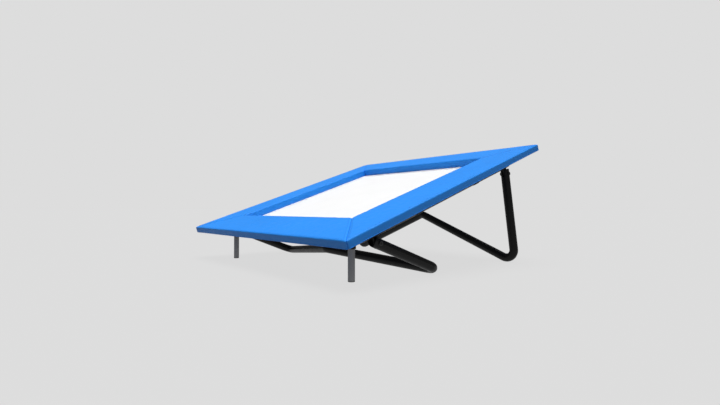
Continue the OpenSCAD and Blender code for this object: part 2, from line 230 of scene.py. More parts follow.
class Shading:
    """One node material, with the nodes that these finishes share."""

    def __init__(self, name, along_deck=False):
        self.material = bpy.data.materials.new(name)
        self.material.use_nodes = True
        self.tree = self.material.node_tree
        self.shader = self.tree.nodes["Principled BSDF"]
        source = self.tree.nodes.new("ShaderNodeTexCoord").outputs["Object"]
        self.place = self.node("ShaderNodeMapping", {"Vector": source}).outputs["Vector"]
        if along_deck:
            turn = DECK.to_euler().x
            self.place.node.inputs["Rotation"].default_value = (-turn, 0, 0)
            self.place.node.inputs["Location"].default_value = DECK.inverted().translation

    def node(self, kind, inputs=None, **settings):
        return add_node(self.tree, kind, inputs, **settings)

    def noise(self, scale, detail=3.0, roughness=0.5):
        return self.node("ShaderNodeTexNoise", {
            "Vector": self.place, "Scale": scale, "Detail": detail, "Roughness": roughness,
        }).outputs["Fac"]

    def cells(self, scale):
        return self.node("ShaderNodeTexVoronoi", {
            "Vector": self.place, "Scale": scale}, feature="SMOOTH_F1").outputs["Distance"]

    def spread(self, value, low, high, from_low=0.3, from_high=0.7):
        return self.node("ShaderNodeMapRange", {
            "Value": value, "From Min": from_low, "From Max": from_high,
            "To Min": low, "To Max": high}).outputs["Result"]

    def tint(self, factor, first, second):
        """A blend from a colour, or from an earlier blend, to a second colour."""
        if not isinstance(first, bpy.types.NodeSocket):
            first = (*first, 1.0)
        colour_a, colour_b, colour_out = 6, 7, 2
        return self.node("ShaderNodeMix", {
            "Factor": factor, colour_a: first, colour_b: (*second, 1.0),
        }, data_type="RGBA").outputs[colour_out]

    def math(self, operation, first, second=0.0):
        return reckon(self.tree, operation, first, second)

    def split(self, vector):
        return self.node("ShaderNodeSeparateXYZ", {"Vector": vector}).outputs

    def wave(self, along, pitch):
        """A sine between 0 and 1 along a coordinate, with that distance between crests."""
        turned = self.math("MULTIPLY", along, 2 * math.pi / pitch)
        return self.spread(self.math("SINE", turned), 0.0, 1.0, -1.0, 1.0)

    def bump(self, height, distance, strength=1.0, under=None):
        inputs = {"Height": height, "Distance": distance, "Strength": strength}
        if under is not None:
            inputs["Normal"] = under
        return self.node("ShaderNodeBump", inputs).outputs["Normal"]

    def worn(self, amount):
        """Where the surface's edges stand out, broken up by noise."""
        edge = self.node("ShaderNodeNewGeometry").outputs["Pointiness"]
        found = self.spread(edge, 0.0, amount, 0.53, 0.62)
        return self.math("MULTIPLY", found, self.spread(self.noise(140, 4), 0.0, 1.0, 0.4, 0.6))

    def finish(self, colour, roughness, normal, **constants):
        self.tree.links.new(colour, self.shader.inputs["Base Color"])
        self.tree.links.new(roughness, self.shader.inputs["Roughness"])
        self.tree.links.new(normal, self.shader.inputs["Normal"])
        for name, value in constants.items():
            self.shader.inputs[name.replace("_", " ")].default_value = value
        return self.material


def scaled(colour, factor):
    return tuple(min(1.0, c * factor) for c in colour)


def pad_vinyl(name, colour):
    s = Shading(name, along_deck=True)
    pores = s.cells(620)
    grain = s.bump(pores, 0.18 * MM, 0.35)
    folds = s.bump(s.noise(26, 2), 0.5 * MM, 0.25, grain)
    tone = s.tint(s.spread(s.noise(5, 3), 0, 1), scaled(colour, 0.955), scaled(colour, 1.03))
    tone = s.tint(s.spread(pores, 0.0, 0.16, 0.25, 0.6), tone, scaled(colour, 0.72))
    tone = s.tint(s.worn(0.25), tone, (0.30, 0.50, 0.85))
    return s.finish(tone, s.spread(s.noise(48, 4), 0.44, 0.58), folds,
                    Specular_IOR_Level=0.18)


def bed_cloth(name, colour, pitch):
    s = Shading(name, along_deck=True)
    across = s.split(s.place)
    over = s.wave(across["X"], pitch)
    under = s.wave(across["Y"], pitch)
    weave = s.math("MULTIPLY", over, under)
    fibre = s.bump(s.noise(1500, 2), 0.1 * MM, 0.3)
    normal = s.bump(weave, 0.35 * MM, 0.6, fibre)
    tone = s.tint(s.spread(s.noise(7, 4), 0, 1), scaled(colour, 0.97), colour)
    # Painted shade: the hollows between the threads, where the weave is lowest, are made darker.
    tone = s.tint(s.spread(weave, 0.14, 0.0, 0.0, 0.3), tone, scaled(colour, 0.72))
    return s.finish(tone, s.spread(s.noise(60, 3), 0.62, 0.8), normal,
                    Specular_IOR_Level=0.3, Sheen_Weight=0.12, Sheen_Roughness=0.5)


def webbing(name, colour, ribs, sheen=0.15):
    """Woven tape, whose slanting ribs follow its own length."""
    s = Shading(name)
    flat = s.node("ShaderNodeUVMap", uv_map="UVMap").outputs["UV"]
    part = s.split(flat)
    slant = s.math("ADD", part["X"], part["Y"])
    back = s.math("SUBTRACT", part["X"], part["Y"])
    twill = s.math("MAXIMUM", s.wave(slant, ribs), s.wave(back, ribs))
    edge = s.bump(s.noise(900, 2), 0.1 * MM, 0.25)
    normal = s.bump(twill, 0.3 * MM, 0.6, edge)
    tone = s.tint(s.spread(s.noise(18, 3), 0, 1), scaled(colour, 0.9), scaled(colour, 1.05))
    # Painted shade: the grooves between the twill's ribs are made darker.
    tone = s.tint(s.spread(twill, 0.4, 0.0, 0.2, 0.8), tone, scaled(colour, 0.7))
    return s.finish(tone, s.spread(s.noise(70, 3), 0.65, 0.85), normal,
                    Specular_IOR_Level=0.3, Sheen_Weight=sheen, Sheen_Roughness=0.4)


def thread(name, colour):
    s = Shading(name)
    normal = s.bump(s.noise(2600, 2), 0.05 * MM, 0.5)
    tone = s.tint(s.spread(s.noise(300, 2), 0, 1), scaled(colour, 0.8), scaled(colour, 1.1))
    return s.finish(tone, s.spread(s.noise(90), 0.55, 0.75), normal, Specular_IOR_Level=0.4)


def powder_coat(name, colour, roughness=0.42, worn=0.12, specular=0.18):
    s = Shading(name)
    peel = s.bump(s.noise(430, 3, 0.6), 0.02 * MM, 0.35)
    runs = s.bump(s.noise(38, 2), 0.2 * MM, 0.1, peel)
    tone = s.tint(s.spread(s.noise(11, 4), 0, 1), scaled(colour, 0.9), scaled(colour, 1.12))
    tone = s.tint(s.worn(worn), tone, (0.16, 0.155, 0.15))
    rough = s.spread(s.noise(65, 4), roughness - 0.06, roughness + 0.08)
    return s.finish(tone, rough, runs, Specular_IOR_Level=specular)


def plated(name, colour, roughness=0.34):
    s = Shading(name)
    drawn = s.bump(s.noise(240, 5, 0.7), 0.05 * MM, 0.5)
    tone = s.tint(s.spread(s.noise(90, 4), 0, 1), scaled(colour, 0.85), scaled(colour, 1.1))
    tone = s.tint(s.spread(s.noise(420, 3), 0.0, 0.3, 0.55, 0.75), tone, (0.55, 0.52, 0.42))
    rough = s.spread(s.noise(160, 4), roughness - 0.08, roughness + 0.12)
    return s.finish(tone, rough, drawn, Metallic=1.0)


def moulded(name, colour, roughness=0.5):
    s = Shading(name)
    spark = s.bump(s.cells(1100), 0.06 * MM, 0.5)
    normal = s.bump(s.noise(55, 2), 0.2 * MM, 0.15, spark)
    tone = s.tint(s.spread(s.noise(30, 3), 0, 1), scaled(colour, 0.92), scaled(colour, 1.1))
    tone = s.tint(s.worn(0.2), tone, scaled(colour, 2.2))
    return s.finish(tone, s.spread(s.noise(120, 3), roughness - 0.06, roughness + 0.07), normal,
                    Specular_IOR_Level=0.45)


MATERIALS = {}


def make_materials():
    c = colours()
    white = tuple(c.bed)
    MATERIALS.update(
        pad_vinyl=pad_vinyl("blue_pad_vinyl", tuple(c.pad)),
        pad_thread=thread("blue_thread", tuple(c.thread)),
        bed_cloth=bed_cloth("white_bed_weave", white, sizes().weave_pitch),
        bed_webbing=webbing("white_webbing", white, 1.8 * MM),
        bed_thread=thread("white_thread", scaled(white, 0.9)),
        strap_webbing=webbing("black_strap_webbing", tuple(c.strap), 1.6 * MM, 0.05),
        frame_black=powder_coat("black_rail_coat", tuple(c.black)),
        leg_black=powder_coat("black_leg_coat", tuple(c.black), 0.4),
        front_grey=powder_coat("grey_leg_coat", tuple(c.grey), 0.62, 0.1, 0.2),
        zinc=plated("zinc_plate", tuple(c.zinc)),
        spring_steel=plated("spring_wire_steel", (0.52, 0.53, 0.55), 0.28),
        knob_plastic=moulded("black_knob_plastic", (0.012, 0.012, 0.013), 0.46),
        grey_plastic=moulded("grey_plug_plastic", (0.20, 0.20, 0.20), 0.6),
        nylon=moulded("black_nylon", (0.007, 0.007, 0.0075), 0.5),
    )


def material(slot):
    """A slot's material. They are all made when the first is asked for."""
    if not MATERIALS:
        make_materials()
    return MATERIALS[slot]


# ---- mesh helpers ----


def new_mesh(name, points, faces, outwards=True):
    mesh = bpy.data.meshes.new(name)
    mesh.from_pydata([tuple(p) for p in points], [], faces)
    if outwards:
        bm = bmesh.new()
        bm.from_mesh(mesh)
        bmesh.ops.recalc_face_normals(bm, faces=bm.faces)
        bm.to_mesh(mesh)
        bm.free()
    mesh.update()
    return mesh


def linked(name, data):
    obj = bpy.data.objects.new(name, data)
    bpy.context.scene.collection.objects.link(obj)
    return obj


def remove(obj):
    data = obj.data
    bpy.data.objects.remove(obj)
    bpy.data.meshes.remove(data)


def new_object(name, mesh, slot=None, smooth_under=SHARP_ANGLE):
    obj = linked(name, mesh)
    if slot is not None:
        mesh.materials.clear()
        mesh.materials.append(material(slot))
    mesh.polygons.foreach_set("use_smooth", [True] * len(mesh.polygons))
    if smooth_under < 180:
        mesh.set_sharp_from_angle(angle=math.radians(smooth_under))
    return obj


def solid(name, part, slot, smooth_under=SHARP_ANGLE):
    return new_object(name, new_mesh(name, *part), slot, smooth_under)


def placed(part, matrix):
    return [matrix @ Vector(p) for p in part[0]], part[1]


def evaluated_mesh(obj):
    graph = bpy.context.evaluated_depsgraph_get()
    return bpy.data.meshes.new_from_object(
        obj.evaluated_get(graph), preserve_all_data_layers=True, depsgraph=graph)


def plain(obj):
    """Replaces an object's mesh by what its modifiers make of it, and removes them."""
    mesh = evaluated_mesh(obj)
    obj.modifiers.clear()
    old, obj.data = obj.data, mesh
    mesh.name = old.name
    bpy.data.meshes.remove(old)
    return obj


def circle(sides):
    return [(math.cos(a), math.sin(a)) for a in (2 * math.pi * k / sides for k in range(sides))]


def fan(first, last, steps):
    """Angles in equal steps from the first to the last, which are given in degrees."""
    return [math.radians(first + (last - first) * k / steps) for k in range(steps + 1)]


def ring_faces(count, size, start=0, loop=False, ends=True):
    """The faces between rings of points that follow one another, and over the two ends."""
    faces = []
    for i in range(count if loop else count - 1):
        a, b = start + i * size, start + (i + 1) % count * size
        faces += [(a + k, a + (k + 1) % size, b + (k + 1) % size, b + k) for k in range(size)]
    if ends and not loop:
        last = start + (count - 1) * size
        faces += [tuple(range(start, start + size)), tuple(range(last, last + size))]
    return faces


def sweep(path, radius, sides, up, wall=0.0, loop=False):
    """A round bar or tube along a path, with closed ends."""
    path = [Vector(p) for p in path]
    count = len(path)
    up = Vector(up).normalized()
    outside, inside = [], []
    for i, point in enumerate(path):
        before = path[i - 1] if loop or i > 0 else point
        after = path[(i + 1) % count] if loop or i < count - 1 else point
        along = (after - before).normalized()
        up = (up - along * up.dot(along)).normalized()
        side = along.cross(up)
        spokes = [up * c + side * s for c, s in circle(sides)]
        outside += [point + radius * spoke for spoke in spokes]
        inside += [point + (radius - wall) * spoke for spoke in spokes]
    if wall <= 0:
        return outside, ring_faces(count, sides, loop=loop)
    inner = len(outside)
    faces = ring_faces(count, sides, ends=False) + ring_faces(count, sides, inner, ends=False)
    for start in (0, inner - sides):
        faces += [(start + k, start + (k + 1) % sides, inner + start + (k + 1) % sides,
                   inner + start + k) for k in range(sides)]
    return outside + inside, faces


def lathe(profile, sides=64):
    """A closed profile of (radius, height) turned round Z."""
    points = [(r * c, r * s, z) for c, s in circle(sides) for r, z in profile]
    return points, ring_faces(sides, len(profile), loop=True)


def ribbon(path, width, thickness):
    """A woven tape along a path of (y, z) points, with softly rounded selvedges, and its
    length and width in its UVs."""
    path = [Vector((0, y, z)) for y, z in path]
    half, soft = width / 2, thickness / 2
    flat_from, flat_steps = -half + soft * 1.4, 6
    section = [(-half, 0), (-half + soft * 0.35, soft * 0.8), (flat_from, soft)]
    section += [(flat_from + (width - soft * 2.8) * k / flat_steps, soft)
                for k in range(1, flat_steps)]
    section += [(-x, z) for x, z in reversed(section[:3])]
    section += [(x, -z) for x, z in reversed(section[1:-1])]
    points, uvs, length = [], [], 0.0
    for i, point in enumerate(path):
        before, after = path[max(i - 1, 0)], path[min(i + 1, len(path) - 1)]
        along = (after - before).normalized()
        out = along.cross(Vector((1, 0, 0)))
        length += (point - path[i - 1]).length if i else 0.0
        points += [point + Vector((x, 0, 0)) + out * z for x, z in section]
        uvs += [(x, length) for x, z in section]
    return points, ring_faces(len(path), len(section)), uvs


def set_uvs(mesh, uvs):
    layer = mesh.uv_layers.new(name="UVMap")
    for loop in mesh.loops:
        layer.data[loop.index].uv = uvs[loop.vertex_index]


def rounded_path(corners, radius, step=math.radians(3)):
    """The corners joined by straight lines, with an arc in each inner corner."""
    corners = [Vector(c) for c in corners]
    path = [corners[0]]
    for before, corner, after in zip(corners, corners[1:], corners[2:]):
        back, on = (before - corner).normalized(), (after - corner).normalized()
        opening = back.angle(on)
        centre = corner + (back + on).normalized() * radius / math.sin(opening / 2)
        start = corner + back * radius / math.tan(opening / 2) - centre
        axis = back.cross(on)
        turn = math.pi - opening
        steps = max(2, round(turn / step))
        path += [centre + Matrix.Rotation(-turn * k / steps, 3, axis) @ start
                 for k in range(steps + 1)]
    return path + [corners[-1]]


def rounded_loop(corners, radius, step=math.radians(18)):
    """A closed run through the corners, with an arc in each."""
    corners = [Vector(c) for c in corners]
    loop = []
    for i, here in enumerate(corners):
        before, after = corners[i - 1], corners[(i + 1) % len(corners)]
        loop += rounded_path([(before + here) / 2, here, (here + after) / 2], radius,
                             step)[1:-1]
    return loop


def cut(obj, cutters):
    """Takes the cutters out of an object."""
    for cutter in cutters:
        tool = linked("cutter", new_mesh("cutter", *cutter))
        modifier = obj.modifiers.new("cut", "BOOLEAN")
        modifier.object = tool
        modifier.solver = "EXACT"
        plain(obj)
        remove(tool)


def block(low, high):
    (x0, y0, z0), (x1, y1, z1) = low, high
    points = [(x, y, z) for x in (x0, x1) for y in (y0, y1) for z in (z0, z1)]
    faces = [(0, 1, 3, 2), (4, 6, 7, 5), (0, 4, 5, 1), (2, 3, 7, 6), (0, 2, 6, 4), (1, 5, 7, 3)]
    return points, faces


# ---- Geometry Nodes for what repeats ----


def new_tree(name, inputs):
    tree = bpy.data.node_groups.new(name, "GeometryNodeTree")
    tree.interface.new_socket("Geometry", in_out="INPUT", socket_type="NodeSocketGeometry")
    for label, kind, default in inputs:
        socket = tree.interface.new_socket(label, in_out="INPUT", socket_type=kind)
        if default is not None:
            socket.default_value = default
    tree.interface.new_socket("Geometry", in_out="OUTPUT", socket_type="NodeSocketGeometry")
    return tree, tree.nodes.new("NodeGroupInput"), tree.nodes.new("NodeGroupOutput")


def end_tree(tree, start, end, instances):
    real = add_node(tree, "GeometryNodeRealizeInstances", {"Geometry": instances})
    paint = add_node(tree, "GeometryNodeSetMaterial", {
        "Geometry": real.outputs["Geometry"], "Material": start.outputs["Material"]})
    tree.links.new(paint.outputs["Geometry"], end.inputs["Geometry"])
    return tree


TREES = {}


def row_tree():
    """Repeats a piece along X, centred on where it was made."""
    tree, start, end = new_tree("row_of_pieces", [
        ("Count", "NodeSocketInt", 8), ("Pitch", "NodeSocketFloat", 0.1),
        ("Material", "NodeSocketMaterial", None)])
    count, pitch = start.outputs["Count"], start.outputs["Pitch"]
    span = reckon(tree, "MULTIPLY", reckon(tree, "SUBTRACT", count, 1.0), pitch)
    first = add_node(tree, "ShaderNodeCombineXYZ", {"X": reckon(tree, "MULTIPLY", span, -0.5)})
    step = add_node(tree, "ShaderNodeCombineXYZ", {"X": pitch})
    line = add_node(tree, "GeometryNodeMeshLine", {
        "Count": count, "Start Location": first.outputs[0], "Offset": step.outputs[0],
    }, mode="OFFSET")
    each = add_node(tree, "GeometryNodeInstanceOnPoints", {
        "Points": line.outputs["Mesh"], "Instance": start.outputs["Geometry"]})
    return end_tree(tree, start, end, each.outputs["Instances"])


def stitch_tree():
    """Lays short threads along the object's edges."""
    tree, start, end = new_tree("row_of_stitches", [
        ("Pitch", "NodeSocketFloat", 0.0055), ("Length", "NodeSocketFloat", 0.004),
        ("Thread radius", "NodeSocketFloat", 0.0004), ("Material", "NodeSocketMaterial", None)])
    thick = start.outputs["Thread radius"]
    curve = add_node(tree, "GeometryNodeMeshToCurve", {"Mesh": start.outputs["Geometry"]})
    spots = add_node(tree, "GeometryNodeCurveToPoints", {
        "Curve": curve.outputs["Curve"], "Length": start.outputs["Pitch"]}, mode="LENGTH")
    turn = add_node(tree, "FunctionNodeAlignRotationToVector", {
        "Vector": spots.outputs["Tangent"]}, axis="Z")
    bead = add_node(tree, "GeometryNodeMeshUVSphere", {
        "Segments": 6, "Rings": 4, "Radius": 1.0})
    shape = add_node(tree, "ShaderNodeCombineXYZ", {
        "X": thick, "Y": thick, "Z": reckon(tree, "MULTIPLY", start.outputs["Length"], 0.5)})
    each = add_node(tree, "GeometryNodeInstanceOnPoints", {
        "Points": spots.outputs["Points"], "Instance": bead.outputs["Mesh"],
        "Rotation": turn.outputs["Rotation"], "Scale": shape.outputs[0]})
    return end_tree(tree, start, end, each.outputs["Instances"])


def grown(obj, make_tree, slot, **values):
    """Runs a tree on an object and keeps the result as a plain mesh."""
    if make_tree not in TREES:
        TREES[make_tree] = make_tree()
    tree = TREES[make_tree]
    modifier = obj.modifiers.new("nodes", "NODES")
    modifier.node_group = tree
    wanted = {key.replace("_", " "): value for key, value in values.items()}
    wanted["Material"] = material(slot)
    for item in tree.interface.items_tree:
        if item.in_out == "INPUT" and item.name in wanted:
            modifier[item.identifier] = wanted[item.name]
    obj.update_tag()
    return plain(obj)


def row(name, part, slot, count, pitch, uvs=None):
    """A plain mesh of a part repeated along X."""
    mesh = new_mesh(name, *part)
    if uvs is not None:
        set_uvs(mesh, uvs)
    return grown(new_object(name, mesh), row_tree, slot, Count=count, Pitch=pitch)


def stitches(name, runs, slot):
    """Stitches along closed loops or open runs of points."""
    points, edges = [], []
    for run, closed in runs:
        start = len(points)
        points += run
        edges += [(start + i, start + i + 1) for i in range(len(run) - 1)]
        if closed:
            edges.append((start + len(run) - 1, start))
    mesh = bpy.data.meshes.new(name)
    mesh.from_pydata([tuple(p) for p in points], edges, [])
    obj = grown(linked(name, mesh), stitch_tree, slot, Pitch=sizes().stitch_pitch,
                Length=sizes().stitch_length, Thread_radius=sizes().thread_r)
    obj.data.polygons.foreach_set("use_smooth", [True] * len(obj.data.polygons))
    return obj


def turned(degrees):
    return DECK @ Matrix.Rotation(math.radians(degrees), 4, "Z")


def place(obj, matrix):
    obj.data.transform(matrix)
    obj.data.update()
    return obj


def settle(obj, body, slot, *nodes):
    """What every finished piece is told: its body and the nodes it stands for. The slot, its
    finish, is not used.
    """
    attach(obj, body)
    if nodes:
        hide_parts(*nodes)
    return obj


def dress(slot, *nodes):
    for node in nodes:
        data = frame["nodes"][node].data
        data.materials.clear()
        data.materials.append(material(slot))


# ---- operators ----


class TRAMPOLINE_OT_rails(bpy.types.Operator):
    """Bend the two end rails and lay the two side rails between them"""
    bl_idname = "trampoline.rails"
    bl_label = "Frame rails"

    def execute(self, context):
        reach = RAIL_JOINT + JOINT_GAP
        corners = [(-RAIL, -reach, 0), (-RAIL, -RAIL, 0), (RAIL, -RAIL, 0), (RAIL, -reach, 0)]
        for name, turn in (("low", 0), ("high", 180)):
            self.rail(f"{name}_end_rail", rounded_path(corners, CORNER_R), turned(turn))
        for name, x in (("left", -RAIL), ("right", RAIL)):
            path = [(x, -RAIL_JOINT + 2 * RAIL_JOINT * k / 12, 0) for k in range(13)]
            self.rail(f"{name}_side_rail", path, DECK)
        return {"FINISHED"}

    def rail(self, node, path, matrix):
        part = placed(sweep(path, TUBE_R, sizes().tube_sides, (0, 0, 1), TUBE_WALL), matrix)
        settle(solid(f"{node}_tube", part, "frame_black"), ROOT, "frame_black", node)


class TRAMPOLINE_OT_fittings(bpy.types.Operator):
    """Finish the plates, sockets, hinges, bolts and lugs on the frame"""
    bl_idname = "trampoline.fittings"
    bl_label = "Frame fittings"

    def execute(self, context):
        dress("frame_black", "high_hinge_tongues", "low_hinge_tongues", "corner_plate_left",
              "corner_plate_right", "socket_left", "socket_right")
        dress("frame_black", *(f"spring_lugs_{side}" for side in SIDES))
        dress("leg_black", "high_hinge_pins", "low_hinge_pins")
        dress("zinc", "rail_sleeves", "rail_bolts", "rail_nuts")
        dress("nylon", "high_pin_caps", "low_pin_caps", "high_leg_ends", "low_leg_ends")
        return {"FINISHED"}


def arc_centre(a, b, c, radius):
    """The centre of an arc of that radius in the corner at b."""
    a, b, c = Vector(a), Vector(b), Vector(c)
    back, on = (a - b).normalized(), (c - b).normalized()
    return b + (back + on).normalized() * radius / math.sin(back.angle(on) / 2)


def leg_corners(length, spread, peak):
    """The corners of a folding leg in its own plane, with the hinge axis at height 0."""
    drop = 0.0
    for _ in range(8):
        centre = arc_centre((RAIL, length), (spread, drop), (0, peak), LEG_BEND_R)
        drop -= centre.y - LEG_BEND_R
    foot, top = Vector((spread, drop - length)), Vector((RAIL, 0))
    end = top + (top - foot).normalized() * (EYE_R + 2 * MM)
    right = [end, foot, Vector((0, peak - length))]
    return [(p.x, p.y, 0) for p in right] + [(-p.x, p.y, 0) for p in reversed(right[:2])]


def beyond_eye(x):
    """What is cut away to leave a leg's end rounded about its hinge pin."""
    far, wide = 2 * EYE_R, 3 * EYE_R
    outline = [(EYE_R * math.cos(a), EYE_R * math.sin(a)) for a in fan(-90, 90, 24)]
    outline = [(0, -wide)] + outline + [(0, wide), (far, wide), (far, -wide)]
    points = [(x + s * 2 * TUBE_R, y, z) for s in (-1, 1) for y, z in outline]
    return points, ring_faces(2, len(outline))


class TRAMPOLINE_OT_folding_legs(bpy.types.Operator):
    """Bend the two W-shaped folding legs and slot their ends for the hinges"""
    bl_idname = "trampoline.folding_legs"
    bl_label = "Folding legs"

    def execute(self, context):
        for name, axis, leg in (("high", HIGH_AXIS, HIGH_LEG), ("low", LOW_AXIS, LOW_LEG)):
            node = f"{name}_leg"
            length = (axis.z - TUBE_R) / math.sin(leg["rise"])
            path = rounded_path(leg_corners(length, RAIL + leg["flare"], leg["peak"]), LEG_BEND_R)
            part = sweep(path, TUBE_R, sizes().tube_sides, (0, 0, 1), TUBE_WALL)
            tube = solid(f"{node}_tube", part, "leg_black")
            for x in (-RAIL, RAIL):
                slot = block((x - SLOT_W / 2, -SLOT_FLOOR, -2 * TUBE_R),
                             (x + SLOT_W / 2, 2 * EYE_R, 2 * TUBE_R))
                pin = [(x - 2 * TUBE_R, 0, 0), (x + 2 * TUBE_R, 0, 0)]
                cut(tube, [slot, beyond_eye(x), sweep(pin, PIN_HOLE_R, 24, (0, 0, 1))])
            turn = Matrix.Rotation(math.pi - leg["rise"], 4, "X")
            place(tube, Matrix.Translation((0, axis.y, axis.z)) @ turn)
            tube.data.set_sharp_from_angle(angle=math.radians(SHARP_ANGLE))
            settle(tube, node, "leg_black", node)
        return {"FINISHED"}


def front_tube_profile(r, base, top):
    """The section of a front leg's wall, with its edges just taken off."""
    bore, soft = r - TUBE_WALL, 0.5 * MM
    profile = [(bore, base + soft), (bore + soft, base), (r - soft, base), (r, base + soft)]
    profile += [(r, base + (top - base) * k / 6) for k in range(1, 6)]
    return profile + [(r, top - soft), (r - soft, top), (bore + soft, top), (bore, top - soft)]


def plug_profile(r, base, seat, top):
    """The section of a plug: a foot up to its leg's end at seat, and a hollow shank above."""
    shank, hole = r - TUBE_WALL - 0.1 * MM, 1.5 * MM
    foot = [(hole, base + 0.8 * MM), (4 * MM, base), (r - 1.2 * MM, base),
            (r - 0.4 * MM, base + 0.4 * MM), (r, base + 1.2 * MM), (r, seat - 0.3 * MM),
            (r - 0.3 * MM, seat)]
    return foot + [(shank, seat), (shank, top - 2 * MM), (shank - 1.5 * MM, top),
                   (shank - 3 * MM, top), (shank - 3.2 * MM, seat), (hole, seat)]


class TRAMPOLINE_OT_front_legs(bpy.types.Operator):
    """Make the two short front legs and their plugs"""
    bl_idname = "trampoline.front_legs"
    bl_label = "Front legs"

    def execute(self, context):
        for side in ("left", "right"):
            body, node = f"front_leg_{side}", f"front_plug_{side}"
            (low, high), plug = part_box(body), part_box(node)
            middle = Matrix.Translation(((low.x + high.x) / 2, (low.y + high.y) / 2, 0))
            r = (high.x - low.x) / 2
            part = placed(lathe(front_tube_profile(r, low.z, high.z)), middle)
            settle(solid(f"{body}_tube", part, "front_grey"), body, "front_grey", body)
            part = placed(lathe(plug_profile(r, plug[0].z, low.z, plug[1].z), 48), middle)
            settle(solid(f"{node}_foot", part, "grey_plastic"), body, "grey_plastic", node)
        return {"FINISHED"}


def knob_part(radius, height):
    """A hand knob with six finger hollows and softened ends, standing on Z."""
    fingers, hollow, dish = 6, 0.13, 0.8 * MM
    side = [(0.0, 0.86), (0.6 * MM, 0.95), (1.6 * MM, 1.0), (height - 2.4 * MM, 1.0),
            (height - 1.0 * MM, 0.96), (height - 0.2 * MM, 0.86), (height, 0.72)]
    face = [(height, 0.5), (height - dish, 0.42), (height - dish, 0.12)]
    spokes = circle(KNOB_SIDES)
    points = []
    for z, share in side:
        for k, (c, s) in enumerate(spokes):
            lobe = 0.5 + 0.5 * math.cos(fingers * 2 * math.pi * k / KNOB_SIDES)
            r = radius * share * (1 - hollow * lobe ** 1.6)
            points.append((r * c, r * s, z))
    points += [(radius * share * c, radius * share * s, z) for z, share in face for c, s in spokes]
    return points, ring_faces(len(side) + len(face), KNOB_SIDES)


class TRAMPOLINE_OT_clamps(bpy.types.Operator):
    """Make the clamp knobs and finish their screws"""
    bl_idname = "trampoline.clamps"
    bl_label = "Clamp screws"

    def execute(self, context):
        for side, sign in (("left", -1), ("right", 1)):
            node = f"clamp_knob_{side}"
            low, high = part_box(node)
            near = high.x if sign > 0 else low.x
            matrix = Matrix.Translation((near, (low.y + high.y) / 2, (low.z + high.z) / 2))
            matrix = matrix @ Matrix.Rotation(math.radians(-90 * sign), 4, "Y")
            part = placed(knob_part((high.z - low.z) / 2, high.x - low.x), matrix)
            settle(solid(f"{node}_grip", part, "knob_plastic"), f"clamp_{side}",
                   "knob_plastic", node)
            dress("zinc", f"clamp_screw_{side}")
        return {"FINISHED"}


def spring_path(ring_bar, lug_hole, radius, turns):
    """A tension spring's wire: a hook round the ring, the coil, and a hook in the lug."""
    hook, lead = 2.9 * MM, 5.5 * MM
    coil_from, coil_to = ring_bar - lead, lug_hole + lead
    steps, taper = turns * COIL_SIDES, COIL_SIDES / 2
    path = [(0, ring_bar + hook * math.cos(a), hook * math.sin(a)) for a in fan(-230, -20, 12)]
    for k in range(steps + 1):
        a = math.pi / 2 + 2 * math.pi * k / COIL_SIDES
        r = radius * (0.35 + 0.65 * min(1.0, k / taper, (steps - k) / taper))
        path.append((r * math.cos(a), coil_from + (coil_to - coil_from) * k / steps,
                     r * math.sin(a)))
    return path + [(0, lug_hole - hook * math.cos(a), -hook * math.sin(a))
                   for a in fan(-20, -230, 12)]


class TRAMPOLINE_OT_springs(bpy.types.Operator):
    """Wind the springs and bend the wire rings that hold the bed"""
    bl_idname = "trampoline.springs"
    bl_label = "Springs and rings"

    def execute(self, context):
        s = sizes()
        level = (SPRING_BOX[0].z + SPRING_BOX[1].z) / 2
        radius = (SPRING_BOX[1].z - SPRING_BOX[0].z) / 2 - s.spring_wire_r
        ring_wire = (RING_BOX[1].z - RING_BOX[0].z) / 2
        ring_out, ring_in = RING_BOX[0].y + ring_wire, RING_BOX[1].y - ring_wire
        ring_z, half, corner_r = RING_BOX[0].z + ring_wire, RING_W / 2 - ring_wire, 2.6 * MM
        lug_hole = LUG_BOX[1].y - 5 * MM
        coil = [(x, y, z + level)
                for x, y, z in spring_path(ring_out, lug_hole, radius, s.spring_turns)]
        ring = rounded_loop([(half, ring_out, ring_z), (half, ring_in, ring_z),
                             (-half, ring_in, ring_z), (-half, ring_out, ring_z)], corner_r)
        for side, turn in SIDES.items():
            wire = sweep(coil, s.spring_wire_r, 8, (1, 0, 0))
            springs = row(f"springs_{side}_coils", wire, "spring_steel", SPRING_COUNT,
                          SPRING_PITCH)
            settle(place(springs, turned(turn)), ROOT, "spring_steel", f"springs_{side}")
            wire = sweep(ring, ring_wire, 10, (0, 0, 1), loop=True)
            rings = row(f"bed_rings_{side}_wire", wire, "zinc", SPRING_COUNT, SPRING_PITCH)
            settle(place(rings, turned(turn)), ROOT, "zinc", f"bed_rings_{side}")
        return {"FINISHED"}


def grid_slab(half, low, high, cells):
    """A thin closed square sheet with that many cells each way."""
    n = cells + 1
    points = [(-half + 2 * half * i / cells, -half + 2 * half * j / cells, z)
              for z in (low, high) for j in range(n) for i in range(n)]
    faces = []
    for j in range(cells):
        for i in range(cells):
            a = j * n + i
            faces.append((a, a + n, a + n + 1, a + 1))
            b = a + n * n
            faces.append((b, b + 1, b + n + 1, b + n))
    edge = [i for i in range(n)] + [j * n + n - 1 for j in range(1, n)]
    edge += [(n - 1) * n + i for i in range(n - 2, -1, -1)] + [j * n for j in range(n - 2, 0, -1)]
    for a, b in zip(edge, edge[1:] + edge[:1]):
        faces.append((a, b, b + n * n, a + n * n))
    return points, faces


